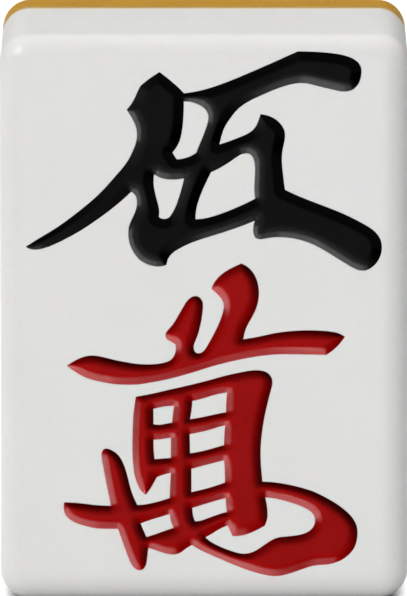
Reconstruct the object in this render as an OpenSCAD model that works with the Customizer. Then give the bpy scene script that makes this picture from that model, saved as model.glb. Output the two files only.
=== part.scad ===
// A playing tile of two bonded layers, with a number mark cut into its face and filled with enamel.
// X runs right across the face, Y from the face to the back and Z up, in millimetres.
// The origin is the middle of the short end that the tile stands on.

/* [Tile] */
// Width across the face
tile_w = 20; // [18:0.5:24]
// Height from end to end
tile_h = 27.9; // [25:0.1:34]
// Thickness from the face to the back
tile_t = 16; // [13:0.5:20]
// Radius of the four upright corners of the outline, seen from the face
corner_r = 1.4; // [1.3:0.1:2.4]
// Radius of the edges round the face
face_edge_r = 1.4; // [0.8:0.1:1.5]
// Radius of the edges round the back
back_edge_r = 1.4; // [0.8:0.1:1.5]

/* [Layers] */
// Thickness of the amber layer at the back
plate_t = 4.5; // [3:0.5:6]
// Thickness of the adhesive between the two layers
bond_t = 0.1; // [0.05:0.05:0.3]
// How far the adhesive stays inside the outline
bond_inset = 0.1; // [0.05:0.05:0.3]

/* [Magnet] */
// Diameter of the magnet disc
magnet_d = 9; // [6:0.5:12]
// Thickness of the magnet disc
magnet_t = 2.5; // [1.5:0.25:4]
// Length of the boss that closes the magnet's pocket
boss_l = 1.5; // [1:0.25:2.5]
// Bevel on the end of the boss
boss_bevel = 0.3; // [0.1:0.1:0.5]
// Clearance all round the magnet and the boss in the pocket
pocket_clear = 0.1; // [0.05:0.05:0.25]
// Gap between the end of the boss and the magnet
seat_gap = 0.1; // [0.05:0.05:0.25]

/* [Number mark] */
// Depth of the cut below the face
cut_depth = 0.6; // [0.4:0.05:0.8]
// Thickness of the enamel on the floor of the cut
enamel_t = 0.12; // [0.05:0.01:0.2]
// How far the enamel stays below the face at the walls
enamel_drop = 0.18; // [0.1:0.01:0.3]
// Width of the enamel that climbs the walls
enamel_climb = 0.5; // [0.2:0.05:0.6]
// Clear face beside the upper figure, on each side
upper_margin = 1.25; // [1:0.05:2.5]
// Clear face above the upper figure
top_margin = 0.65; // [0.6:0.05:2.5]
// Clear face left of the lower figure
lower_left = 3; // [1.5:0.1:4]
// Clear face right of the lower figure
lower_right = 2.4; // [1.5:0.1:4]
// Clear face below the lower figure
foot_margin = 1.3; // [1.1:0.05:2.5]

/* [Hidden] */
$fn = 64;

// An edge is rounded a little less than the corner that it runs round
edge_limit_share = 0.94;
face_r = min(face_edge_r, corner_r * edge_limit_share);
back_r = min(back_edge_r, corner_r * edge_limit_share);

face_y = -tile_t / 2;
back_y = tile_t / 2;
seam_y = back_y - plate_t;
block_t = tile_t - plate_t - bond_t;

pocket_d = magnet_d + 2 * pocket_clear;
pocket_floor_y = seam_y - boss_l - seat_gap - magnet_t;

// One overrun for every cut that breaks a surface
overrun = 0.5;

// How far the enamel climbs, and how wide it lies, at each of its steps
climb_height_share = [1, 0.45];
climb_width_share = [0.4, 1];

// Boxes that the two figures fill, as left, foot, width and height
mark_h = tile_h - top_margin - foot_margin;
upper_h_share = 0.4162;
lower_h_share = 0.5934;
upper_h = mark_h * upper_h_share;
lower_h = mark_h * lower_h_share;
upper_box = [upper_margin - tile_w / 2, tile_h - top_margin - upper_h, tile_w - 2 * upper_margin, upper_h];
lower_box = [lower_left - tile_w / 2, foot_margin, tile_w - lower_left - lower_right, lower_h];

// Pieces that one stretch of curve is drawn in
curve_steps = 2;

// Outlines as shares of a box, across and up, chosen by hand. A 1 after a point makes it a sharp corner.
upper_rim_shares = [
  [.376, .898, 1], [.400, .868], [.437, .814], [.444, .801, 1], [.480, .810], [.520, .827],
  [.560, .850], [.620, .890], [.700, .947], [.740, .976], [.762, .991, 1], [.800, .990],
  [.840, .986], [.880, .978], [.911, .964], [.929, .947], [.939, .922], [.940, .895],
  [.936, .860], [.925, .828], [.911, .813], [.891, .808], [.860, .818], [.820, .833],
  [.790, .846], [.770, .849], [.740, .841], [.700, .820], [.660, .792], [.620, .760],
  [.592, .726], [.577, .695], [.558, .649], [.547, .596], [.543, .568, 1], [.600, .601],
  [.630, .624], [.646, .651], [.653, .680], [.658, .706, 1], [.680, .700], [.700, .684],
  [.714, .663], [.725, .634], [.727, .610], [.718, .532], [.717, .500], [.719, .460],
  [.726, .361, 1], [.760, .335], [.820, .296], [.880, .258], [.949, .202], [.971, .180],
  [.984, .160], [.992, .140], [.998, .100], [.994, .060], [.981, .022], [.965, -.001],
  [.948, -.011], [.931, -.007], [.900, .020], [.840, .081], [.800, .115], [.760, .135],
  [.711, .145], [.680, .141], [.653, .133], [.644, .136], [.640, .147, 1], [.642, .219, 1],
  [.600, .192], [.540, .159], [.480, .128], [.440, .100], [.420, .081], [.405, .062],
  [.398, .042], [.395, .017, 1], [.377, .009], [.352, .014], [.320, .040], [.301, .080],
  [.291, .120], [.288, .160], [.291, .200], [.303, .241], [.312, .282], [.313, .305],
  [.307, .343], [.297, .352, 1], [.240, .271], [.200, .223], [.160, .179], [.120, .142],
  [.080, .110], [.060, .097], [.040, .088], [.025, .087], [.010, .090], [.001, .100, 1],
  [.040, .140], [.081, .180], [.148, .260], [.206, .340], [.251, .420], [.290, .500],
  [.302, .540], [.311, .580], [.313, .620], [.310, .652], [.302, .679], [.284, .726, 1],
  [.294, .745], [.304, .770], [.312, .800], [.322, .834, 1], [.340, .859], [.360, .882]
];
upper_hole_shares = [
  [
    [.3605, .433, 1], [.380, .4135], [.402, .408], [.425, .408], [.4445, .413, 1], [.440, .380],
    [.431, .331], [.4195, .278], [.4065, .240], [.402, .228], [.390, .2225], [.378, .229],
    [.374, .236, 1], [.376, .257], [.3705, .300], [.3635, .343], [.3585, .395]
  ],
  [
    [.476, .226, 1], [.500, .229], [.540, .247], [.580, .2715], [.643, .320, 1], [.6405, .370],
    [.643, .440], [.6405, .499], [.636, .5155], [.630, .527], [.620, .531], [.610, .528],
    [.577, .4935], [.540, .4565], [.5195, .441, 1], [.508, .403], [.489, .331], [.4775, .265]
  ],
  [
    [.4435, .7635, 1], [.4665, .762], [.480, .754], [.500, .7365], [.508, .723], [.514, .695],
    [.5095, .660], [.4895, .5745], [.4775, .5275, 1], [.460, .512], [.440, .502], [.424, .500],
    [.417, .513], [.412, .531, 1], [.420, .5465], [.430, .5745], [.4385, .632], [.4425, .700]
  ]
];
crown_rim_shares = [
  [.020, .672, 1], [.040, .685], [.073, .700], [.100, .705], [.140, .700], [.180, .690],
  [.220, .683], [.260, .677], [.300, .676], [.340, .680], [.360, .685], [.371, .690],
  [.380, .703], [.3855, .724], [.384, .740], [.373, .749], [.355, .755], [.347, .763],
  [.347, .774], [.355, .784], [.371, .799], [.390, .828], [.410, .861], [.425, .884],
  [.441, .895], [.459, .897], [.471, .890], [.476, .875], [.474, .842], [.467, .800],
  [.456, .763], [.443, .727], [.446, .716], [.462, .709], [.477, .716], [.490, .735],
  [.510, .769], [.530, .808], [.544, .847], [.547, .865], [.540, .886], [.525, .902],
  [.504, .920, 1], [.515, .942], [.541, .968], [.570, .985], [.605, 1, 1], [.619, .995],
  [.638, .979], [.657, .947], [.664, .912], [.663, .889], [.652, .850], [.634, .817],
  [.624, .800], [.616, .780], [.611, .757, 1], [.640, .761], [.681, .769], [.720, .777],
  [.760, .782], [.800, .785], [.860, .785], [.900, .782], [.927, .778], [.945, .7705],
  [.952, .765, 1], [.940, .749], [.921, .728], [.901, .713], [.890, .7065, 1], [.840, .708],
  [.780, .709], [.730, .709], [.681, .705], [.620, .696], [.561, .6835], [.500, .668],
  [.440, .650], [.400, .639], [.340, .625], [.300, .618], [.260, .612], [.220, .611],
  [.180, .613], [.140, .619], [.100, .628], [.060, .644], [.040, .657]
];
lower_rim_shares = [
  [.2505, .572, 1], [.280, .577], [.320, .585], [.360, .594], [.440, .6115], [.500, .626],
  [.560, .642], [.600, .650], [.640, .657], [.660, .6575], [.680, .655], [.697, .648],
  [.706, .638], [.711, .624], [.710, .613], [.703, .590], [.692, .548], [.681, .500],
  [.6735, .452], [.670, .413], [.670, .360], [.6735, .320], [.6755, .299, 1], [.710, .297],
  [.750, .2915], [.800, .281], [.850, .266], [.890, .247], [.930, .224], [.9545, .206],
  [.976, .186], [.987, .169], [.994, .1525], [.996, .130], [.993, .108], [.986, .0865],
  [.975, .072], [.950, .050], [.920, .037], [.890, .031], [.860, .030], [.840, .0265],
  [.800, .013], [.760, .0005], [.740, -.0045], [.715, -.0065], [.690, -.0035], [.660, .004],
  [.620, .016], [.580, .031], [.530, .0515], [.490, .0685], [.460, .083], [.4395, .0945, 1],
  [.430, .0905], [.410, .076], [.396, .0665], [.385, .063], [.360, .065], [.320, .077],
  [.2925, .085, 1], [.2895, .0655], [.284, .029], [.2755, .0145], [.2645, .010], [.253, .013],
  [.239, .0265], [.2265, .052], [.2125, .087], [.202, .116], [.1905, .147, 1], [.150, .147],
  [.120, .148], [.080, .156], [.050, .165], [.030, .176], [.0155, .189], [.0075, .205],
  [.007, .2175], [.010, .232, 1], [.040, .231], [.080, .227], [.120, .2225], [.167, .221, 1],
  [.161, .250], [.150, .301], [.1425, .340], [.1355, .378], [.134, .389], [.137, .399],
  [.143, .406], [.150, .407], [.1675, .401], [.182, .394], [.194, .382], [.2045, .3655],
  [.216, .338], [.2255, .304], [.2345, .270], [.244, .2455], [.2555, .2235, 1], [.270, .2235],
  [.300, .2285], [.330, .2355], [.364, .246, 1], [.366, .290], [.368, .327, 1], [.340, .3205],
  [.321, .313, 1], [.3125, .2985], [.299, .275], [.283, .256, 1], [.2695, .2665], [.2595, .2835],
  [.2505, .3045], [.2445, .328], [.2405, .372], [.239, .420], [.2405, .470], [.243, .520],
  [.2475, .551]
];
lower_hole_shares = [
  [
    [.3095, .533, 1], [.340, .540], [.379, .543, 1], [.3755, .518], [.3725, .4885, 1],
    [.350, .485], [.323, .480], [.3095, .484, 1]
  ],
  [
    [.310, .434, 1], [.340, .436], [.3685, .441, 1], [.368, .375, 1], [.340, .373],
    [.3135, .371, 1], [.310, .400]
  ],
  [
    [.440, .5585, 1], [.465, .5635], [.500, .574], [.530, .582], [.557, .586, 1], [.5545, .560],
    [.5535, .5225, 1], [.510, .514], [.470, .5055], [.4325, .500, 1], [.438, .532]
  ],
  [
    [.4315, .4515, 1], [.460, .457], [.500, .466], [.530, .4755], [.5505, .480, 1],
    [.5475, .445], [.5465, .4165, 1], [.520, .409], [.490, .4005], [.460, .394], [.4325, .390, 1]
  ],
  [
    [.437, .340, 1], [.480, .3515], [.520, .361], [.547, .368, 1], [.5495, .335], [.550, .296, 1],
    [.520, .2855], [.480, .2745], [.437, .265, 1]
  ],
  [
    [.440, .214, 1], [.480, .226], [.520, .2375], [.5525, .246, 1], [.5535, .224],
    [.5565, .201, 1], [.530, .194], [.500, .1835], [.470, .173], [.4565, .1695], [.449, .171],
    [.444, .179], [.441, .194]
  ],
  [
    [.2665, .164, 1], [.300, .1755], [.340, .187], [.3645, .1945, 1], [.3665, .177],
    [.3775, .150, 1], [.340, .1375], [.300, .124], [.286, .1205, 1], [.2745, .1445]
  ],
  [
    [.4845, .119, 1], [.510, .133], [.535, .148], [.5595, .158, 1], [.566, .144], [.576, .1235, 1],
    [.600, .124], [.630, .131], [.660, .1445], [.684, .157], [.690, .169], [.6935, .190],
    [.692, .2125], [.685, .248, 1], [.710, .246], [.740, .240], [.780, .229], [.820, .214],
    [.840, .203], [.850, .193], [.8555, .180], [.8545, .166], [.8485, .1525], [.840, .143],
    [.820, .132], [.795, .126], [.760, .122], [.7285, .119], [.7125, .1135], [.690, .100],
    [.660, .080], [.640, .070], [.620, .066], [.600, .067], [.570, .0755], [.530, .0905],
    [.505, .103], [.491, .112]
  ]
];

// Row i of a closed table, counted round past either end
function row(shares, i) = shares[(i + len(shares)) % len(shares)];

// Whether point i of a table is a sharp corner
function sharp(shares, i) = len(row(shares, i)) > 2;

// Where point i of a table lies in its box
function spot(shares, box, i) =
  let (r = row(shares, i)) [box[0] + r[0] * box[2], box[1] + r[1] * box[3]];

// Direction of the curve at q, on its way from p to r
function heading(p, q, r) =
  let (a = q - p, b = r - q, la = norm(a), lb = norm(b)) (a * lb / la + b * la / lb) / (la + lb);

// Direction v seen in a mirror that lies along the unit vector c
function mirrored(v, c) = 2 * (v * c) * c - v;

// Direction at end i of the stretch whose unit chord is c and whose other end is j
function end_heading(shares, box, i, j, c) =
  !sharp(shares, i) ? heading(spot(shares, box, i - 1), spot(shares, box, i), spot(shares, box, i + 1)) :
  !sharp(shares, j) ? mirrored(end_heading(shares, box, j, i, c), c) :
  c;

// Point at share u of a smooth stretch from p to q that leaves along v and arrives along w
function along(p, q, v, w, u) =
  p * (2 * pow(u, 3) - 3 * pow(u, 2) + 1) + v * (pow(u, 3) - 2 * pow(u, 2) + u)
  + q * (3 * pow(u, 2) - 2 * pow(u, 3)) + w * (pow(u, 3) - pow(u, 2));

// Points of stretch i of a table
function stretch(shares, box, i) =
  let (
    p = spot(shares, box, i),
    q = spot(shares, box, i + 1),
    l = norm(q - p),
    c = (q - p) / l,
    v = end_heading(shares, box, i, i + 1, c) * l,
    w = end_heading(shares, box, i + 1, i, c) * l,
    n = sharp(shares, i) && sharp(shares, i + 1) ? 1 : curve_steps
  ) [for (k = [0:n - 1]) along(p, q, v, w, k / n)];

// The whole outline of a table, in its box
module outline(shares, box) {
  polygon([for (i = [0:len(shares) - 1]) each stretch(shares, box, i)]);
}

// A rim with its holes
module figure(rim, holes, box) {
  difference() {
    outline(rim, box);
    for (hole = holes) outline(hole, box);
  }
}

module upper_figure() {
  figure(upper_rim_shares, upper_hole_shares, upper_box);
}

module crown_figure() {
  figure(crown_rim_shares, [], lower_box);
}

module lower_figure() {
  figure(lower_rim_shares, lower_hole_shares, lower_box);
}

// Turns a drawing on the face, X across and Y up, so that it is extruded from depth y towards the face
module drawn_at(y) {
  translate([0, y, 0]) rotate([90, 0, 0]) children();
}

// Section of an upright corner, out from its axis and up, rounded by r at the top
module corner_section(d, r) {
  square([corner_r - r, d]);
  square([corner_r, d - r]);
  translate([corner_r - r, d - r]) intersection() {
    circle(r = r);
    square([r, r]);
  }
}

// Section right across the slab, rounded by r at both top edges
module slab_section(w, d, r) {
  translate([r - w / 2, 0]) square([w - 2 * r, d]);
  translate([-w / 2, 0]) square([w, d - r]);
  for (side = [-1, 1]) translate([side * (w / 2 - r), d - r]) circle(r = r);
}

// A slab with round corners, flat below and rounded by r round its top, centred on the origin
module pillow(w, h, d, r) {
  inner_w = w - 2 * corner_r;
  inner_h = h - 2 * corner_r;
  for (sx = [-1, 1], sy = [-1, 1])
    translate([sx * inner_w / 2, sy * inner_h / 2, 0]) rotate_extrude() corner_section(d, r);
  translate([0, inner_h / 2, 0]) rotate([90, 0, 0]) linear_extrude(inner_h) slab_section(w, d, r);
  translate([-inner_w / 2, 0, 0]) rotate([90, 0, 90]) linear_extrude(inner_w) slab_section(h, d, r);
}

// A disc whose axis runs from front to back through the middle of the tile, from depth y0 to y1
module disc(d, y0, y1) {
  translate([0, y1, tile_h / 2]) rotate([90, 0, 0]) cylinder(d = d, h = y1 - y0);
}

// Enamel in one cut: a film on the floor that climbs the walls in steps
module enamel(climb_top) {
  drawn_at(face_y + cut_depth) {
    linear_extrude(enamel_t) children();
    for (k = [0:len(climb_width_share) - 1])
      linear_extrude(enamel_t + (climb_top - enamel_t) * climb_height_share[k])
        difference() {
          children();
          offset(delta = -enamel_climb * climb_width_share[k]) children();
        }
  }
}

module face_block() {
  color([0.86, 0.86, 0.84]) difference() {
    translate([0, seam_y - bond_t, tile_h / 2]) rotate([90, 0, 0]) pillow(tile_w, tile_h, block_t, face_r);
    drawn_at(face_y + cut_depth) linear_extrude(cut_depth + overrun) {
      upper_figure();
      crown_figure();
      lower_figure();
    }
    disc(pocket_d, pocket_floor_y, seam_y + overrun);
  }
}

module back_plate() {
  color([0.74, 0.55, 0.25]) {
    translate([0, seam_y, tile_h / 2]) rotate([-90, 0, 0]) pillow(tile_w, tile_h, plate_t, back_r);
    translate([0, seam_y, tile_h / 2]) rotate([90, 0, 0]) {
      cylinder(d = magnet_d, h = boss_l - boss_bevel);
      translate([0, 0, boss_l - boss_bevel])
        cylinder(d1 = magnet_d, d2 = magnet_d - 2 * boss_bevel, h = boss_bevel);
    }
  }
}

module bond_film() {
  film_w = tile_w - 2 * bond_inset;
  film_h = tile_h - 2 * bond_inset;
  film_r = corner_r - bond_inset;
  color([0.9, 0.86, 0.72]) difference() {
    translate([0, seam_y, tile_h / 2]) rotate([90, 0, 0]) linear_extrude(bond_t) {
      square([film_w - 2 * film_r, film_h], center = true);
      square([film_w, film_h - 2 * film_r], center = true);
      for (sx = [-1, 1], sy = [-1, 1])
        translate([sx * (film_w / 2 - film_r), sy * (film_h / 2 - film_r)]) circle(r = film_r);
    }
    disc(pocket_d, seam_y - bond_t - overrun, seam_y + overrun);
  }
}

module magnet() {
  color([0.62, 0.63, 0.65]) disc(magnet_d, pocket_floor_y, pocket_floor_y + magnet_t);
}

module enamel_upper() {
  color([0.08, 0.08, 0.08]) enamel(cut_depth - enamel_drop) upper_figure();
}

module enamel_crown() {
  color([0.56, 0.08, 0.08]) enamel(cut_depth - enamel_drop) crown_figure();
}

module enamel_lower() {
  color([0.56, 0.08, 0.08]) enamel(cut_depth - enamel_drop) lower_figure();
}

face_block();
back_plate();
bond_film();
magnet();
enamel_upper();
enamel_crown();
enamel_lower();
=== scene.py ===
# Looks of a playing tile: two bonded layers of resin, with an enamelled number mark cut into the face.
# Meshes are made in millimetres and written in metres. X runs right across the face, Y to the back, Z up.
# A point of the face is a pair, x and z.
import math

import bmesh
import bpy
import numpy as np
from mathutils import Matrix, Vector
from mathutils.geometry import delaunay_2d_cdt
from mathutils.kdtree import KDTree


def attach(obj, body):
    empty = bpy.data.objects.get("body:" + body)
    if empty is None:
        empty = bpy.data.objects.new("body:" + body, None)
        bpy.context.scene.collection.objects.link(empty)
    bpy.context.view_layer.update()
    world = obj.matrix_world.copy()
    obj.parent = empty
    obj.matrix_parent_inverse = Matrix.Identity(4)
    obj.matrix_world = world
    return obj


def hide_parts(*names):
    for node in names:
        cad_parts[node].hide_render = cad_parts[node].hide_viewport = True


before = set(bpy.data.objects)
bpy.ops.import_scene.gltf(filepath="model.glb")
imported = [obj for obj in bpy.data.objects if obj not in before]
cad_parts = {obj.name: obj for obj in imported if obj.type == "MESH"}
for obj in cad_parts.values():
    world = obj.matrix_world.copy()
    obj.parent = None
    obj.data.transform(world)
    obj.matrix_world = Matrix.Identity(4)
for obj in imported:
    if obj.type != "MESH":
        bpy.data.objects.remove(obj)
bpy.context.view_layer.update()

MM = 0.001
SAME = 1e-3  # points nearer than this, in millimetres, lie at one depth
PLACE_DECIMALS, DEPTH_DECIMALS = 4, 3  # that places and depths are read to, in millimetres
FRONT = Vector((0, -1, 0))  # the way that the face looks

# Outlines of the mark, in millimetres and degrees
OUTLINE_STEP = 0.08  # length of the pieces that an outline is drawn in
OUTLINE_ROUNDS = 8  # rounds of smoothing
CORNER_TURN = 20  # a turn above this is a sharp corner if it is far above its neighbours'
CORNER_RATIO = 2  # how far above
SURE_TURN = 45  # a turn above this is always a sharp corner
MITRE_LEAST = 0.6  # a mitred corner moves no further than its sides do, divided by this

# Meshes, in millimetres and degrees
FLAT_STEP = 0.7  # spacing of the points in a flat face
SIDE_STEP = 0.5  # spacing of the points along a straight edge
CORNER_STEPS = 24  # pieces of an upright corner of the tile
EDGE_STEPS = 12  # pieces of a rounded edge of the tile
ROUND_STEPS = 96  # pieces of the magnet and its pocket
MAGNET_EDGE = 0.25  # radius of the edge of the magnet
SEAM_BREAK = 0.05  # bevel of both layers where they meet
RIM_BREAK = 0.03  # bevel of the resin round the cut figures
SUPPORT = 0.14  # distance of the row of points that holds the face flat round a cut
SUPPORT_KEEP = 0.8  # share of that distance that every loose point keeps from the cuts
SHARP_RESIN = 35  # angle between faces from which an edge is drawn sharp
SHARP_ENAMEL = 55
JOIN_WITHIN = 1e-7  # points nearer than this are one when a sheet is filled
BATCH = 2000  # points that are measured at one time

# Enamel, in millimetres and degrees
RIM_DROP = 0.04  # depth of the enamel at the wall of its cut
DISHES = {  # how steep the surface is at a distance from the wall
    "black_enamel": ((0, 37.5), (0.16, 36.5), (0.27, 30), (0.43, 29), (0.51, 0)),
    "red_enamel": (
        (0, 42.5), (0.13, 42), (0.19, 37.5), (0.24, 31.5), (0.3, 26),
        (0.36, 23), (0.42, 16), (0.48, 7), (0.6, 0),
    ),
}
WALL_SHADE_SLOPE = 40  # slope at which the enamel has its full wall tone, painted shade of the walls, partly the deeper tone of a heavier coat
DISH_STEP = 0.1  # spacing of the points in the flat floor
DISH_ROW = 0.05  # spacing of the rows of points that follow the wall
ROW_KEEP = 0.97  # share of its row's distance that a point keeps from every wall
DISH_APART = 0.035  # least distance between points where the rows of two walls meet
DISH_CELL = 0.03  # spacing of the map that the surface is worked out on
DISH_EDGE = 0.3  # how far the map reaches past the cut
DISH_ROUNDS = 6  # rounds of smoothing
WALL_PARTS = 4  # parts of each piece of wall that distances are measured from
FALL_STEPS = 200  # steps in which the slopes are added up

# The pieces that stand for the enamel nodes, with the slot of each
MARKS = {
    "enamel_upper": ("upper_enamel", "black_enamel"),
    "enamel_crown": ("crown_enamel", "red_enamel"),
    "enamel_lower": ("lower_enamel", "red_enamel"),
}

# Materials, with pattern sizes in millimetres and colours as a screen shows them, from 0 to 255
SEAM_GLOW_PAINTED = 0.75  # how far each layer shows the other's colour past the seam, as a glow painted for the light that the layers pass to each other
CLOUDS = (0.3, 0.7)  # the values that most of a noise pattern lies between
PAINT_TONES = {  # main tone, second tone, pooled tone and tone of the steep walls, which is painted shade, partly the deeper tone of a heavier coat
    "black_enamel": ((20, 20, 20), (17, 17, 17), (14, 14, 14), (15, 15, 15)),
    "red_enamel": ((150, 17, 17), (156, 21, 21), (140, 14, 14), (130, 1, 1)),
}

# Camera, in metres and degrees unless a comment says otherwise
CAMERA_ELEVATION = 8.1
CAMERA_AWAY = 0.8  # distance from the tile's middle
PIXELS_PER_MM = 20.42  # at the tile's face
FRAME_HEIGHT = 596  # of the picture, in pixels
SENSOR = 36  # in millimetres
AIM_LEFT, AIM_DOWN = 0.025, 0.084  # millimetres from the tile's middle to the middle of the frame
CLIP = (0.01, 10)  # distances of the nearest and the furthest point that is seen

# Light and floor, in metres and degrees. A share of 1 is the light that shows a colour as it is written
LAMP_AWAY = 0.4  # distance from the tile to most lamps
BODY_LAMPS = (  # name, azimuth and elevation, distance, spread and share
    ("front_lamp", (0, 4), 0.2, 50, 0.786),
    ("left_lamp", (-140, 60), LAMP_AWAY, 80, 0.749),
    ("low_left_lamp", (-100, -10), LAMP_AWAY, 50, 0.504),
    ("right_lamp", (120, 60), LAMP_AWAY, 50, 0.414),
    ("bounce_lamp", (0, -90), LAMP_AWAY, 140, 0.085),
)
SPOT_LAMP = ((-56, 46), 14, 1.2)  # heading, spread and share of the highlight at the top left corner
FLOOR_LAMP = ((0, 70), 80, 2.3)  # heading, spread and share of the lamp on the floor alone
PAINT_TURN, PAINT_SPREAD = 47.5, 12  # turn, from right up to the top, and spread of each plain lamp
PAINT_LAMPS = {  # lift over the face and share of the plain lamp, then lift, depth and share of the gloss
    "black": (10.5, 4.63, 13.5, 19, 3.5),
    "red": (38, 1.39, 18.5, 41, 10.3),
}
GLOSS_FAN = ((-7, 0.95), (19, 1), (45, 1), (71, 1), (97, 0.45))  # turn and strength of each gloss lamp
GLOSS_STEP = 26  # width of a gloss lamp
GLOSS_AWAY = 0.07  # distance from the middle of the face, so near that the floor hides none of the light
FLOOR_HALF = 2.0  # half the side of the floor
FLOOR_SEEN = (250, 250, 250)
FLOOR_BOUNCE = (0.02, 0.02, 0.02, 1)  # colour for the light that the floor throws back
WORLD_LIGHT = (0.03, 0.03, 0.03, 1)  # a little light from all round


def cad_points(node):
    """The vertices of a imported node, in millimetres."""
    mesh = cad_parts[node].data
    flat = np.empty(len(mesh.vertices) * 3, np.float32)
    mesh.vertices.foreach_get("co", flat)
    return np.round(flat.reshape(-1, 3).astype(float) / MM, PLACE_DECIMALS)


def round_profile(points, centre_z):
    """Depths and radii of the rings of points round the tile's middle axis, from front to back."""
    radius = np.hypot(points[:, 0], points[:, 2] - centre_z)
    depths = sorted(set(np.round(points[:, 1], DEPTH_DECIMALS)))
    return [(y, radius[abs(points[:, 1] - y) < SAME].max()) for y in depths]


class Tile:
    """The driving sizes of the tile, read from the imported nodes."""

    block, plate, magnet = (cad_points(n) for n in ("face_block", "back_plate", "magnet"))
    low, high = block.min(0), block.max(0)
    half_w, height = high[0], high[2]
    middle_z = height / 2
    front_y, block_back_y = low[1], high[1]
    back_y = plate[:, 1].max()
    corner_r = half_w - block[block[:, 2] < SAME][:, 0].max()
    face_r = block[block[:, 0] > half_w - SAME][:, 1].min() - front_y
    back_r = back_y - plate[plate[:, 0] > half_w - SAME][:, 1].max()
    plate_front_y = plate[plate[:, 0] > half_w - SAME][:, 1].min()
    cut_y = cad_points("enamel_upper")[:, 1].max()
    from_axis = np.hypot(block[:, 0], block[:, 2] - middle_z)
    pocket = round_profile(block[(block[:, 1] > cut_y + SAME) & (from_axis < half_w - corner_r)], middle_z)
    boss = round_profile(plate[plate[:, 1] < plate_front_y - SAME], middle_z)
    disc = round_profile(magnet, middle_z)
    centre = Vector((0, 0, middle_z)) * MM  # in metres, for the lamps and the camera
    face_centre = Vector((0, front_y, middle_z)) * MM


def inset(points):
    """How far points of the face lie inside the tile's outline."""
    centre = np.array([0, Tile.middle_z])
    past = abs(np.asarray(points) - centre) - (np.array([Tile.half_w, Tile.middle_z]) - Tile.corner_r)
    rounded = np.hypot(past[:, 0], past[:, 1])
    return Tile.corner_r - np.where((past > 0).all(1), rounded, past.max(1))


def face_depth(points):
    """Depth y of the tile's front surface at points of the face."""
    short = np.clip(Tile.face_r - inset(points), 0, Tile.face_r)
    return Tile.front_y + Tile.face_r - np.sqrt(Tile.face_r**2 - short**2)


def tile_outline(inward):
    """The tile's outline, drawn inward by a distance, anticlockwise from the bottom right corner."""
    r = Tile.corner_r - inward
    w, h = Tile.half_w - Tile.corner_r, Tile.middle_z - Tile.corner_r
    ends = [(w, -h), (w, h), (-w, h), (-w, -h)]
    rows = []
    for quarter, (x, z) in enumerate(ends):
        angles = math.radians(90) * (quarter - 1 + np.linspace(0, 1, CORNER_STEPS + 1))
        arc = np.stack([x + r * np.cos(angles), z + r * np.sin(angles)], 1)
        to_x, to_z = ends[(quarter + 1) % 4]
        pieces = round(math.hypot(to_x - x, to_z - z) / SIDE_STEP)
        shares = (np.arange(1, pieces) / pieces)[:, None]
        rows += [arc, arc[-1] + shares * np.array([to_x - x, to_z - z])]
    return np.concatenate(rows) + np.array([0, Tile.middle_z])


def circle(radius):
    """A circle round the tile's middle axis."""
    angles = np.linspace(0, math.tau, ROUND_STEPS, endpoint=False)
    return np.stack([radius * np.cos(angles), Tile.middle_z + radius * np.sin(angles)], 1)


def deepest_loops(node):
    """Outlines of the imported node's deepest flat face. The enamel lies on the left of each."""
    mesh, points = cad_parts[node].data, cad_points(node)
    deep = points[:, 1] > points[:, 1].max() - SAME
    spots = [(x, z) for x, _, z in points.tolist()]
    open_edges = set()
    for polygon in mesh.polygons:
        ring = list(polygon.vertices)
        if deep[ring].all():
            for a, b in zip(ring, ring[1:] + ring[:1]):
                if (spots[b], spots[a]) in open_edges:
                    open_edges.remove((spots[b], spots[a]))
                else:
                    open_edges.add((spots[a], spots[b]))
    follower, loops = dict(sorted(open_edges)), []
    while follower:
        loop = [min(follower)]
        while loop[-1] in follower:
            loop.append(follower.pop(loop[-1]))
        loops.append(np.array(loop[:-1]))
    loops.sort(key=lambda loop: -abs(area(loop)))
    return [loop if (area(loop) > 0) == (i == 0) else loop[::-1] for i, loop in enumerate(loops)]


def area(loop):
    """The area of a closed loop, less than zero where it runs clockwise."""
    after = np.roll(loop, -1, 0)
    return (loop[:, 0] * after[:, 1] - after[:, 0] * loop[:, 1]).sum() / 2


def smoothed(loop):
    """The loop redrawn in short pieces of a curve through its points, with its sharp corners kept."""
    before, after = loop - np.roll(loop, 1, 0), np.roll(loop, -1, 0) - loop
    la, lb = np.linalg.norm(before, axis=1), np.linalg.norm(after, axis=1)
    cross = before[:, 0] * after[:, 1] - before[:, 1] * after[:, 0]
    turn = abs(np.degrees(np.arctan2(cross, (before * after).sum(1))))
    beside = np.maximum(np.roll(turn, 1), np.roll(turn, -1))
    sharp = (turn > CORNER_TURN) & (turn > CORNER_RATIO * beside) | (turn > SURE_TURN)
    ratio = (lb / la)[:, None]
    heading = (before * ratio + after / ratio) / (la + lb)[:, None]
    heading = [None if corner else way for corner, way in zip(sharp, heading)]
    rows, fixed = [], []
    for i, (p, step, length) in enumerate(zip(loop, after, lb)):
        j = (i + 1) % len(loop)
        leave = end_heading(heading[i], heading[j], step / length)
        arrive = end_heading(heading[j], heading[i], step / length)
        pieces = max(1, round(length / OUTLINE_STEP))
        u = (np.arange(pieces) / pieces)[:, None]
        rows.append(
            p * (2 * u**3 - 3 * u**2 + 1)
            + leave * length * (u**3 - 2 * u**2 + u)
            + (p + step) * (3 * u**2 - 2 * u**3)
            + arrive * length * (u**3 - u**2)
        )
        fixed += [sharp[i]] + [False] * (pieces - 1)
    curve, fixed = np.concatenate(rows), np.array(fixed)[:, None]
    for _ in range(OUTLINE_ROUNDS):
        between = (np.roll(curve, 1, 0) + np.roll(curve, -1, 0)) / 2
        curve = np.where(fixed, curve, (curve + between) / 2)
    return curve


def end_heading(own, other, chord):
    """Heading of a curve at one end: its own, or at a sharp corner that of the other end in a mirror."""
    if own is not None:
        return own
    return chord if other is None else 2 * (other @ chord) * chord - other


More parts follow.
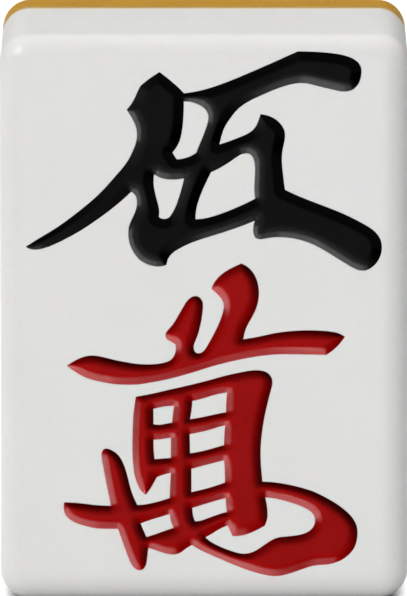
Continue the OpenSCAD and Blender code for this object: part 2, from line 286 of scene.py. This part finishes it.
def moved_right(loop, distance):
    """The loop moved to its right by a distance, with mitred corners."""
    before, after = loop - np.roll(loop, 1, 0), np.roll(loop, -1, 0) - loop
    before /= np.linalg.norm(before, axis=1)[:, None]
    after /= np.linalg.norm(after, axis=1)[:, None]
    both = before + after
    both /= np.linalg.norm(both, axis=1)[:, None]
    stretch = 1 / np.maximum((both * after).sum(1), MITRE_LEAST)
    return loop + distance * stretch[:, None] * np.stack([both[:, 1], -both[:, 0]], 1)


def gap_to(points, loops):
    """Distance from each point to the nearest of the loops."""
    starts = np.concatenate(loops)
    steps = np.concatenate([np.roll(loop, -1, 0) - loop for loop in loops])
    lengths = (steps**2).sum(1)
    least = []
    for part in np.array_split(points, max(1, len(points) // BATCH)):
        away = part[:, None] - starts
        share = np.clip((away * steps).sum(2) / lengths, 0, 1)
        least.append(np.sqrt(((away - share[..., None] * steps) ** 2).sum(2).min(1)))
    return np.concatenate(least)


def lattice(low, high, step):
    """Points of an even triangular lattice over a box."""
    rows = []
    for i, z in enumerate(np.arange(low[1], high[1], step * math.sqrt(0.75))):
        rows += [(x + step / 2 * (i % 2), z) for x in np.arange(low[0], high[0], step)]
    return np.array(rows)


class Shell:
    """A closed surface in the making, in millimetres."""

    def __init__(self):
        self.points, self.faces = [], []

    def ring(self, outline, depth):
        """Adds a closed ring at a depth, which may differ from point to point, and returns its numbers."""
        first = len(self.points)
        depths = np.broadcast_to(depth, len(outline))
        self.points += [(x, y, z) for (x, z), y in zip(outline, depths)]
        return list(range(first, len(self.points)))

    def band(self, *rings):
        """Joins each ring to the next."""
        for a, b in zip(rings, rings[1:]):
            for i in range(len(a)):
                self.faces.append((a[i - 1], a[i], b[i], b[i - 1]))

    def sheet(self, rings, loose=(), depth_at=None):
        """Fills the space between rings by way of loose points, at the depths that depth_at gives."""
        fixed = [i for ring in rings for i in ring]
        flat = [Vector(self.points[i][::2]) for i in fixed] + [Vector(p) for p in loose]
        numbers, spans = iter(range(len(fixed))), []
        for ring in rings:
            span = [next(numbers) for _ in ring]
            spans.append(span if area(np.array([flat[i] for i in span])) > 0 else span[::-1])
        spots, _, faces, sources, _, within = delaunay_2d_cdt(flat, [], spans, 1, JOIN_WITHIN)
        faces = [face for face, held in zip(faces, within) if len(held) % 2]
        place, added = {}, []
        for i in sorted({i for face in faces for i in face}):
            if not sources[i]:
                raise ValueError("two outlines cross")
            if sources[i][0] < len(fixed):
                place[i] = fixed[sources[i][0]]
            else:
                place[i] = len(self.points)
                added.append(place[i])
                self.points.append((spots[i].x, 0, spots[i].y))
        if added:
            rows = np.array([self.points[i] for i in added])
            rows[:, 1] = depth_at(rows[:, ::2])
            self.points[added[0] :] = rows.tolist()
        self.faces += [tuple(place[i] for i in face) for face in faces]

    def piece(self, name, sharp_from):
        """The finished object, smooth where faces meet at less than an angle in degrees."""
        mesh = bpy.data.meshes.new(name)
        mesh.from_pydata([Vector(p) * MM for p in self.points], [], self.faces)
        mesh.validate()
        turning = bmesh.new()
        turning.from_mesh(mesh)
        bmesh.ops.recalc_face_normals(turning, faces=turning.faces)
        turning.to_mesh(mesh)
        turning.free()
        mesh.shade_smooth()
        mesh.set_sharp_from_angle(angle=math.radians(sharp_from))
        return in_scene(name, mesh)


def in_scene(name, data):
    """A new object in the scene."""
    made = bpy.data.objects.new(name, data)
    bpy.context.scene.collection.objects.link(made)
    return made


def edge_rings(edge_r, flat_y, outward):
    """How far inside the outline, and how deep, the rings of a rounded edge lie, from side to flat face."""
    angles = np.radians(np.linspace(0, 90, EDGE_STEPS + 1))
    inward = edge_r * (1 - np.cos(angles))
    depths = flat_y - outward * edge_r * (1 - np.sin(angles))
    return list(zip(inward, depths))


def turned(shell, profile):
    """Rings of a round feature on the tile's middle axis, given as depths and radii."""
    return [shell.ring(circle(radius), y) for y, radius in profile]


def flat_points(holes, margin):
    """Loose points for a flat face that ends a margin inside the outline, clear of its holes."""
    spots = lattice((-Tile.half_w, 0), (Tile.half_w, Tile.height), FLAT_STEP)
    spots = spots[inset(spots) > margin + FLAT_STEP / 2]
    return spots[gap_to(spots, holes) > FLAT_STEP / 2] if holes else spots


def seam_points(radius):
    """Loose points for the flat side of a layer at the seam, outside a circle."""
    spots = flat_points([circle(radius)], SEAM_BREAK)
    return spots[np.hypot(spots[:, 0], spots[:, 1] - Tile.middle_z) > radius]


def build_block(cuts):
    """The pale layer, with the figures cut into its face and the magnet's pocket in its back."""
    shell = Shell()
    loops = [loop for cut in cuts for loop in cut]
    mouth = shell.ring(tile_outline(SEAM_BREAK), Tile.block_back_y)
    rings = [mouth, shell.ring(tile_outline(0), Tile.block_back_y - SEAM_BREAK)]
    clear = inset(np.concatenate(loops)).min() - SUPPORT
    edge = edge_rings(Tile.face_r, Tile.front_y, -1)
    rings += [shell.ring(tile_outline(inward), y) for inward, y in edge if inward < clear]
    shell.band(*rings)

    rims = []
    for cut in cuts:
        feet = [shell.ring(loop, Tile.cut_y) for loop in cut]
        for loop, foot in zip(cut, feet):
            broken = moved_right(loop, RIM_BREAK)
            rims.append(shell.ring(broken, face_depth(broken)))
            shell.band(rims[-1], shell.ring(loop, face_depth(loop) + RIM_BREAK), foot)
        shell.sheet(feet)

    loose = [tile_outline(inward) for inward, _ in edge if inward >= clear]
    loose += [tile_outline(Tile.face_r + SUPPORT)]
    loose += [moved_right(loop, SUPPORT)[::2] for loop in loops]
    loose = np.concatenate(loose)
    loose = loose[gap_to(loose, loops) > SUPPORT_KEEP * SUPPORT]
    loose = np.concatenate([loose, flat_points(loops, Tile.face_r)])
    shell.sheet([rings[-1]] + rims, loose, face_depth)

    bottom, top = turned(shell, Tile.pocket)
    shell.band(bottom, top)
    shell.sheet([bottom])
    shell.sheet([mouth, top], seam_points(Tile.pocket[-1][1]), lambda _: Tile.block_back_y)
    return shell.piece("pale_block", SHARP_RESIN)


def build_plate():
    """The amber layer, with the boss that closes the magnet's pocket."""
    shell = Shell()
    root = shell.ring(tile_outline(SEAM_BREAK), Tile.plate_front_y)
    rings = [root, shell.ring(tile_outline(0), Tile.plate_front_y + SEAM_BREAK)]
    rings += [shell.ring(tile_outline(x), y) for x, y in edge_rings(Tile.back_r, Tile.back_y, 1)]
    shell.band(*rings)
    shell.sheet([rings[-1]], flat_points([], Tile.back_r), lambda _: Tile.back_y)
    radius = Tile.boss[-1][1]
    boss = turned(shell, Tile.boss + [(Tile.plate_front_y, radius)])
    shell.band(*boss)
    shell.sheet([boss[0]])
    shell.sheet([root, boss[-1]], seam_points(radius), lambda _: Tile.plate_front_y)
    return shell.piece("amber_plate", SHARP_RESIN)


def build_magnet():
    """The magnet disc, with rounded edges."""
    (front, radius), (back, _) = Tile.disc
    shell = Shell()
    angles = np.radians(np.linspace(0, 90, EDGE_STEPS // 2 + 1))
    turn = [(MAGNET_EDGE * (1 - math.cos(a)), MAGNET_EDGE * (1 - math.sin(a))) for a in angles]
    profile = [(front + x, radius - y) for x, y in turn]
    profile += [(back - x, radius - y) for x, y in reversed(turn)]
    rings = turned(shell, profile)
    shell.band(*rings)
    shell.sheet([rings[0]])
    shell.sheet([rings[-1]])
    return shell.piece("magnet_disc", SHARP_RESIN)


def inside(xs, zs, loops):
    """Whether each point of a grid lies between the loops."""
    starts = np.concatenate(loops)
    ends = np.concatenate([np.roll(loop, -1, 0) for loop in loops])
    rows = []
    for z in zs:
        a, b = (ends_of[(starts[:, 1] > z) != (ends[:, 1] > z)] for ends_of in (starts, ends))
        crossings = np.sort(a[:, 0] + (z - a[:, 1]) / (b[:, 1] - a[:, 1]) * (b[:, 0] - a[:, 0]))
        rows.append(np.searchsorted(crossings, xs) % 2 == 1)
    return np.stack(rows, 1)


class Dish:
    """How far the enamel's surface lies below its edge, as a map over one cut."""

    def __init__(self, loops, slopes):
        self.low = loops[0].min(0) - DISH_EDGE
        xs, zs = (np.arange(a, b, DISH_CELL) for a, b in zip(self.low, loops[0].max(0) + DISH_EDGE))
        parts = np.arange(WALL_PARTS) / WALL_PARTS
        wall = np.concatenate([(1 - s) * loop + s * np.roll(loop, -1, 0) for loop in loops for s in parts])
        tree = KDTree(len(wall))
        for i, (x, z) in enumerate(wall):
            tree.insert((x, z, 0), i)
        tree.balance()
        away = np.array([[tree.find((x, z, 0))[2] for z in zs] for x in xs])
        away = np.where(inside(xs, zs, loops), away, -away)

        spots, degrees = zip(*slopes)
        fine = np.linspace(0, spots[-1], FALL_STEPS)
        rise = np.tan(np.radians(np.interp(fine, spots, degrees)))
        fall = np.append(0, np.cumsum((rise[1:] + rise[:-1]) / 2 * np.diff(fine)))
        fall = np.where(away > 0, np.interp(away, fine, fall), away * rise[0])
        for _ in range(DISH_ROUNDS):
            for axis in (0, 1):
                fall = fall / 2 + (np.roll(fall, 1, axis) + np.roll(fall, -1, axis)) / 4
        self.maps = np.stack([fall, *np.gradient(fall, DISH_CELL)], 2)

    def at(self, points):
        """Depth below the edge at each point, and how steeply it grows along x and z."""
        place = (np.asarray(points) - self.low) / DISH_CELL
        cell = place.astype(int)
        (u, v), (i, j) = (place - cell).T[:, :, None], cell.T
        near = (1 - u) * self.maps[i, j] + u * self.maps[i + 1, j]
        far = (1 - u) * self.maps[i, j + 1] + u * self.maps[i + 1, j + 1]
        return (1 - v) * near + v * far


def dish_points(loops, width):
    """Loose points for a dished surface: rows along its walls, then an even lattice."""
    rows = []
    for distance in np.arange(DISH_ROW, width + DISH_ROW, DISH_ROW):
        row = np.concatenate([moved_right(loop, -distance) for loop in loops])
        rows.append(row[gap_to(row, loops) > ROW_KEEP * distance])
    spots = lattice(loops[0].min(0), loops[0].max(0), DISH_STEP)
    rows.append(spots[gap_to(spots, loops) > width + DISH_ROW])
    points = np.concatenate(rows)
    _, first = np.unique(np.floor(points / DISH_APART), axis=0, return_index=True)
    return points[np.sort(first)]


def build_enamel(name, loops, slopes):
    """Enamel that fills a cut up to a dished surface."""
    shell, dish = Shell(), Dish(loops, slopes)
    rims = [shell.ring(loop, face_depth(loop) + RIM_DROP) for loop in loops]
    feet = [shell.ring(loop, Tile.cut_y) for loop in loops]
    for rim, foot in zip(rims, feet):
        shell.band(rim, foot)
    shell.sheet(feet)
    first = len(shell.faces)
    spots = dish_points(loops, slopes[-1][0])
    shell.sheet(rims, spots, lambda points: face_depth(points) + RIM_DROP + dish.at(points)[:, 0])
    made = shell.piece(name, SHARP_ENAMEL)

    # the dish is lit by the slopes of its map, which are smoother than those of its small faces
    places = np.array(shell.points)[:, ::2]
    nudges = np.array([[SAME, 0], [0, SAME]])
    slant = [(face_depth(places + nudge) - face_depth(places - nudge)) / (2 * SAME) for nudge in nudges]
    slant = np.stack(slant, 1)
    in_dish = np.zeros(len(places), bool)
    in_dish[[i for face in shell.faces[first:] for i in face]] = True
    slant[in_dish] += dish.at(places[in_dish])[:, 1:]
    facing = np.stack([slant[:, 0], np.full(len(places), -1.0), slant[:, 1]], 1)
    facing /= np.linalg.norm(facing, axis=1)[:, None]
    normals = np.zeros((len(made.data.loops), 3))
    for polygon in made.data.polygons[first:]:
        normals[list(polygon.loop_indices)] = facing[list(polygon.vertices)]
    made.data.normals_split_custom_set(normals.tolist())
    # how steep the dish is, for the painted shade on its walls
    store(made, "wall_shade", np.hypot(facing[:, 0], facing[:, 2]) / math.sin(math.radians(WALL_SHADE_SLOPE)))
    return made


def store(piece, name, values):
    """Stores a value from 0 to 1 at each point, for the materials."""
    made = piece.data.attributes.new(name, "FLOAT", "POINT")
    made.data.foreach_set("value", np.clip(values, 0, 1).astype(np.float32))


def mark_wear(piece):
    """Stores how strongly the surface turns from one flat side to another, for wear along the edges."""
    normals = np.empty(len(piece.data.vertices) * 3, np.float32)
    piece.data.vertex_normals.foreach_get("vector", normals)
    most = abs(normals.reshape(-1, 3)).max(1)
    store(piece, "wear", (1 - most) / (1 - math.sqrt(0.5)))


def linear(*levels):
    """A colour whose channels are given from 0 to 255 as a screen shows them."""
    shares = [level / 255 for level in levels]
    return tuple(s / 12.92 if s <= 0.04045 else ((s + 0.055) / 1.055) ** 2.4 for s in shares) + (1,)


class Finish:
    """A node material round one Principled shader."""

    def __init__(self, name, **plain):
        self.material = bpy.data.materials.new(name)
        self.material.use_nodes = True
        self.tree = self.material.node_tree
        self.shader = self.tree.nodes["Principled BSDF"]
        for word, value in plain.items():
            self.shader.inputs[word.replace("_", " ")].default_value = value
        self.place = self.node("TexCoord").outputs["Object"]

    def node(self, kind, inputs=(), **settings):
        """A node whose inputs are linked to sockets or set to values."""
        made = self.tree.nodes.new("ShaderNode" + kind)
        for word, value in settings.items():
            setattr(made, word, value)
        for key, value in dict(inputs).items():
            if isinstance(value, bpy.types.NodeSocket):
                self.tree.links.new(value, made.inputs[key])
            else:
                made.inputs[key].default_value = value
        return made

    def noise(self, size, detail=2, stretch=(1, 1, 1)):
        """Cloudy noise, from 0 to 1."""
        place = self.place
        if stretch != (1, 1, 1):
            place = self.node("Mapping", {"Vector": place, "Scale": stretch}).outputs["Vector"]
        made = self.node("TexNoise", {"Vector": place, "Scale": 1 / (size * MM), "Detail": detail})
        return made.outputs["Fac"]

    def span(self, value, source, target):
        """A value moved from one range to another, and held inside it."""
        keys = dict(zip(("Value", "From Min", "From Max", "To Min", "To Max"), (value, *source, *target)))
        return self.node("MapRange", keys).outputs["Result"]

    def clouds(self, size, detail, source=CLOUDS, target=(0, 1), stretch=(1, 1, 1)):
        """Cloudy noise, with one range of it spread over another."""
        return self.span(self.noise(size, detail, stretch), source, target)

    def stored(self, name):
        """A value that is stored on the mesh."""
        return self.node("Attribute", attribute_name=name).outputs["Fac"]

    def wear(self, most):
        """Wear along the edges, from 0 to a share, broken up by noise."""
        breaks = self.clouds(0.6, 4, (0.35, 0.65), (0.2, 1))
        broken = self.node("Math", {0: self.stored("wear"), 1: breaks}, operation="MULTIPLY").outputs[0]
        return self.span(broken, (0, 1), (0, most))

    def depth(self, start, end):
        """How far a point lies on the way from one depth y to another, in millimetres, from 0 to 1."""
        across = self.node("SeparateXYZ", {0: self.place}).outputs["Y"]
        keys = {"Value": across, "From Min": start * MM, "From Max": end * MM}
        return self.node("MapRange", keys, interpolation_type="SMOOTHSTEP").outputs["Result"]

    def colour(self, tone, *layers):
        """Sets the colour: a first tone, then others laid over it, each by its share."""
        for share, over in layers:
            tone = self.node("Mix", {0: share, 6: tone, 7: over}, data_type="RGBA").outputs[2]
        self.tree.links.new(tone, self.shader.inputs["Base Color"])

    def roughness(self, socket):
        """Sets how rough the surface is."""
        self.tree.links.new(socket, self.shader.inputs["Roughness"])

    def relief(self, *layers):
        """Bumps, each given as a height from 0 to 1 and its depth in millimetres."""
        normal = None
        for height, depth in layers:
            keys = {"Height": height, "Strength": 1, "Distance": depth * MM}
            if normal:
                keys["Normal"] = normal
            normal = self.node("Bump", keys).outputs["Normal"]
        self.tree.links.new(normal, self.shader.inputs["Normal"])


def pale_resin():
    """Polished pale resin: faint clouds, fine polishing lines, warmer edges and an amber glow at the seam.

    The glow is painted into the colour, for the light that the two layers pass to each other.
    """
    f = Finish("pale_resin", Specular_IOR_Level=0.25, Subsurface_Weight=0.15, Subsurface_Scale=0.0004)
    f.colour(
        linear(222, 222, 220),
        (f.clouds(4.5, 3), linear(224, 224, 222)),
        (f.clouds(0.35, 4, (0.4, 0.75), (0, 0.12)), linear(214, 213, 209)),
        (f.wear(0.3), linear(214, 211, 204)),
        # painted glow: the amber light that the back layer passes into the pale one near the seam
        (f.depth(Tile.block_back_y - SEAM_GLOW_PAINTED, Tile.block_back_y), linear(221, 198, 154)),
    )
    f.roughness(f.clouds(1.8, 4, CLOUDS, (0.38, 0.46)))
    f.relief((f.noise(0.12, 3, (1, 1, 14)), 0.0004), (f.noise(0.9, 2), 0.0008))
    return f.material


def amber_resin():
    """Polished translucent amber: soft bands of tone, clearer edges and a paler glow painted at the seam,
    for the light that the pale layer passes into it.
    """
    f = Finish(
        "amber_resin",
        Specular_IOR_Level=0.25,
        Subsurface_Weight=0.3,
        Subsurface_Radius=(1, 0.5, 0.15),
        Subsurface_Scale=0.0006,
    )
    f.colour(
        linear(199, 147, 47),
        (f.clouds(6, 1, stretch=(1, 2.5, 1)), linear(196, 149, 51)),
        (f.clouds(3, 2, (0.4, 0.75), (0, 0.25)), linear(191, 138, 38)),
        (f.wear(0.25), linear(202, 156, 78)),
        # painted glow: the pale light that the front layer passes into the amber near the seam
        (f.depth(Tile.plate_front_y + SEAM_GLOW_PAINTED, Tile.plate_front_y), linear(190, 166, 112)),
    )
    f.roughness(f.clouds(1.6, 4, CLOUDS, (0.3, 0.38)))
    f.relief((f.noise(1.2, 2), 0.0008))
    return f.material


def cement():
    """Straw-coloured cement line with small bubbles."""
    f = Finish("adhesive", Specular_IOR_Level=0.4)
    f.colour(linear(222, 208, 176), (f.clouds(0.8, 3, (0.35, 0.7)), linear(206, 188, 148)))
    f.roughness(f.clouds(0.3, 3, CLOUDS, (0.45, 0.65)))
    f.relief((f.noise(0.2, 2), 0.004))
    return f.material


def nickel():
    """Dull nickel plate with faint turning marks."""
    f = Finish("magnet_plating", Metallic=1.0)
    f.colour(linear(172, 170, 166), (f.clouds(1.2, 3), linear(150, 149, 147)))
    f.roughness(f.clouds(0.25, 4, CLOUDS, (0.28, 0.45)))
    f.relief((f.noise(0.08, 2, (1, 0.2, 6)), 0.002))
    return f.material


def enamel_paint(name):
    """Glossy enamel with slight pooling, a darker tone painted as shade on its steep walls, partly for a
    heavier coat there, and the ripple of dried paint.
    """
    f = Finish(name, Specular_IOR_Level=0.01)
    main, second, pooled, edge = (linear(*tone) for tone in PAINT_TONES[name])
    pools = f.clouds(0.3, 4, (0.45, 0.8), (0, 0.4))
    # the last tone is painted shade on the steep walls of the dish, partly the deeper tone of a heavier coat
    f.colour(main, (f.clouds(2.2, 3), second), (pools, pooled), (f.stored("wall_shade"), edge))
    f.roughness(f.clouds(0.7, 4, CLOUDS, (0.14, 0.19)))
    f.relief((f.noise(0.5, 1), 0.0008))
    return f.material


def dress(piece, material, replaced=None):
    """Gives a piece its material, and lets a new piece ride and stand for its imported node."""
    piece.data.materials.clear()
    piece.data.materials.append(material)
    if replaced:
        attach(piece, "root")
        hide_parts(replaced)


def heading_to(azimuth, elevation):
    """Unit vector towards an azimuth, from the front round to the right, and an elevation, in degrees."""
    a, e = math.radians(azimuth), math.radians(elevation)
    return Vector((math.sin(a) * math.cos(e), -math.cos(a) * math.cos(e), math.sin(e)))


def over_face(turn, lift):
    """Unit vector that leaves the face's plane by a lift, at a turn from right up to the top, in degrees."""
    t, up = math.radians(turn), math.radians(lift)
    return Vector((math.cos(t) * math.cos(up), -math.sin(up), math.sin(t) * math.cos(up)))


def collection_of(name, *members):
    """A collection that names what a lamp lights."""
    made = bpy.data.collections.new(name)
    for member in members:
        made.objects.link(member)
    return made


def lamp(name, towards, spread, share, lit, blocking=None, away=LAMP_AWAY, middle=Tile.centre):
    """A soft lamp that spans spread degrees each way and gives what faces it a share of full light."""
    data = bpy.data.lights.new(name, "AREA")
    data.shape = "ELLIPSE"
    data.size, data.size_y = (2 * away * math.tan(math.radians(s / 2)) for s in spread)
    data.energy = share * (math.pi * away) ** 2 / math.prod(math.cos(math.radians(s / 2)) for s in spread)
    made = in_scene(name, data)
    made.location = middle + away * towards
    made.rotation_mode = "QUATERNION"
    made.rotation_quaternion = towards.to_track_quat("Z", "Y")
    made.visible_camera = False
    made.light_linking.receiver_collection = lit
    made.light_linking.blocker_collection = blocking
    return made


def light_body(body):
    """Lamps on the two layers alone. Those behind the tile give no gloss, and the spot lamp only gloss."""
    lit = collection_of("lit_body", *body)
    for name, heading, away, spread, share in BODY_LAMPS:
        towards = heading_to(*heading)
        made = lamp(name, towards, (spread, spread), share, lit, lit, away)
        made.visible_glossy = towards.y < 0
    heading, spread, share = SPOT_LAMP
    made = lamp("spot_lamp", heading_to(*heading), (spread, spread), share, lit, lit)
    made.visible_diffuse = False


def light_paint(painted, lit, blocking):
    """A plain lamp on one paint, and a fan of gloss lamps where its walls mirror the camera's view."""
    high, share, low, depth, gloss = PAINT_LAMPS[painted]
    spread = (PAINT_SPREAD, PAINT_SPREAD)
    plain = lamp(f"{painted}_lamp", over_face(PAINT_TURN, high), spread, share, lit, blocking)
    plain.visible_glossy = False
    for turn, strength in GLOSS_FAN:
        # the camera looks down on the face, so the light that walls under it mirror comes from further out
        towards = over_face(turn, low + CAMERA_ELEVATION * math.sin(math.radians(turn)))
        name, spread = f"{painted}_gloss_{turn + 90}", (GLOSS_STEP, depth)
        made = lamp(name, towards, spread, gloss * strength, lit, blocking, GLOSS_AWAY, Tile.face_centre)
        made.data.shape = "RECTANGLE"
        along = FRONT.cross(towards).normalized()
        sides = Matrix((along, towards.cross(along), towards)).transposed()
        made.rotation_quaternion = sides.to_quaternion()
        made.visible_diffuse = False


def build_floor():
    """A plain pale floor. It throws little light back, and diffuse light from below passes it."""
    mesh = bpy.data.meshes.new("floor")
    corners = [(x * FLOOR_HALF, y * FLOOR_HALF, 0) for x, y in ((-1, -1), (1, -1), (1, 1), (-1, 1))]
    mesh.from_pydata(corners, [], [(0, 1, 2, 3)])
    made = in_scene("floor", mesh)
    f = Finish("floor", Roughness=0.9, Specular_IOR_Level=0.0)
    rays = f.node("LightPath").outputs
    seen = rays["Is Camera Ray"]
    for ray in ("Is Glossy Ray", "Is Transmission Ray"):
        seen = f.node("Math", {0: seen, 1: rays[ray]}, operation="MAXIMUM").outputs[0]
    f.colour(FLOOR_BOUNCE, (seen, linear(*FLOOR_SEEN)))
    mesh.materials.append(f.material)
    made.visible_diffuse = False
    heading, spread, share = FLOOR_LAMP
    lamp("floor_lamp", heading_to(*heading), (spread, spread), share, collection_of("lit_floor", made))


def set_world():
    """A plain low grey, and the plain view transform."""
    world = bpy.data.worlds.new("studio")
    world.use_nodes = True
    world.node_tree.nodes["Background"].inputs["Color"].default_value = WORLD_LIGHT
    bpy.context.scene.world = world
    bpy.context.scene.view_settings.view_transform = "Standard"


def build_camera():
    """A long lens that frames the tile from a little above."""
    data = bpy.data.cameras.new("camera")
    towards = heading_to(0, CAMERA_ELEVATION)
    face_away = CAMERA_AWAY / MM + Tile.front_y * math.cos(math.radians(CAMERA_ELEVATION))
    data.sensor_width = SENSOR
    data.lens = SENSOR * PIXELS_PER_MM * face_away / FRAME_HEIGHT
    data.clip_start, data.clip_end = CLIP
    made = in_scene("camera", data)
    facing = towards.to_track_quat("Z", "Y")
    made.rotation_euler = facing.to_euler()
    right, up = facing @ Vector((1, 0, 0)), facing @ Vector((0, 1, 0))
    made.location = Tile.centre + CAMERA_AWAY * towards - (AIM_LEFT * right + AIM_DOWN * up) * MM
    bpy.context.scene.camera = made


cuts = {node: [smoothed(loop) for loop in deepest_loops(node)] for node in MARKS}
block = build_block(list(cuts.values()))
plate = build_plate()
for layer in (block, plate):
    mark_wear(layer)
dress(block, pale_resin(), "face_block")
dress(plate, amber_resin(), "back_plate")
magnet = build_magnet()
dress(magnet, nickel(), "magnet")
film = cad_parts["bond_film"]
dress(film, cement())
paints = {slot: enamel_paint(slot) for slot in PAINT_TONES}
enamels = []
for node, (piece_name, slot) in MARKS.items():
    enamels.append(build_enamel(piece_name, cuts[node], DISHES[slot]))
    dress(enamels[-1], paints[slot], node)

light_body((block, plate, film))
build_floor()
hidden = collection_of("lit_magnet", magnet)  # all that may block the light on the paints
light_paint("black", collection_of("lit_black", *enamels[:1]), hidden)
light_paint("red", collection_of("lit_red", *enamels[1:]), hidden)
set_world()
build_camera()
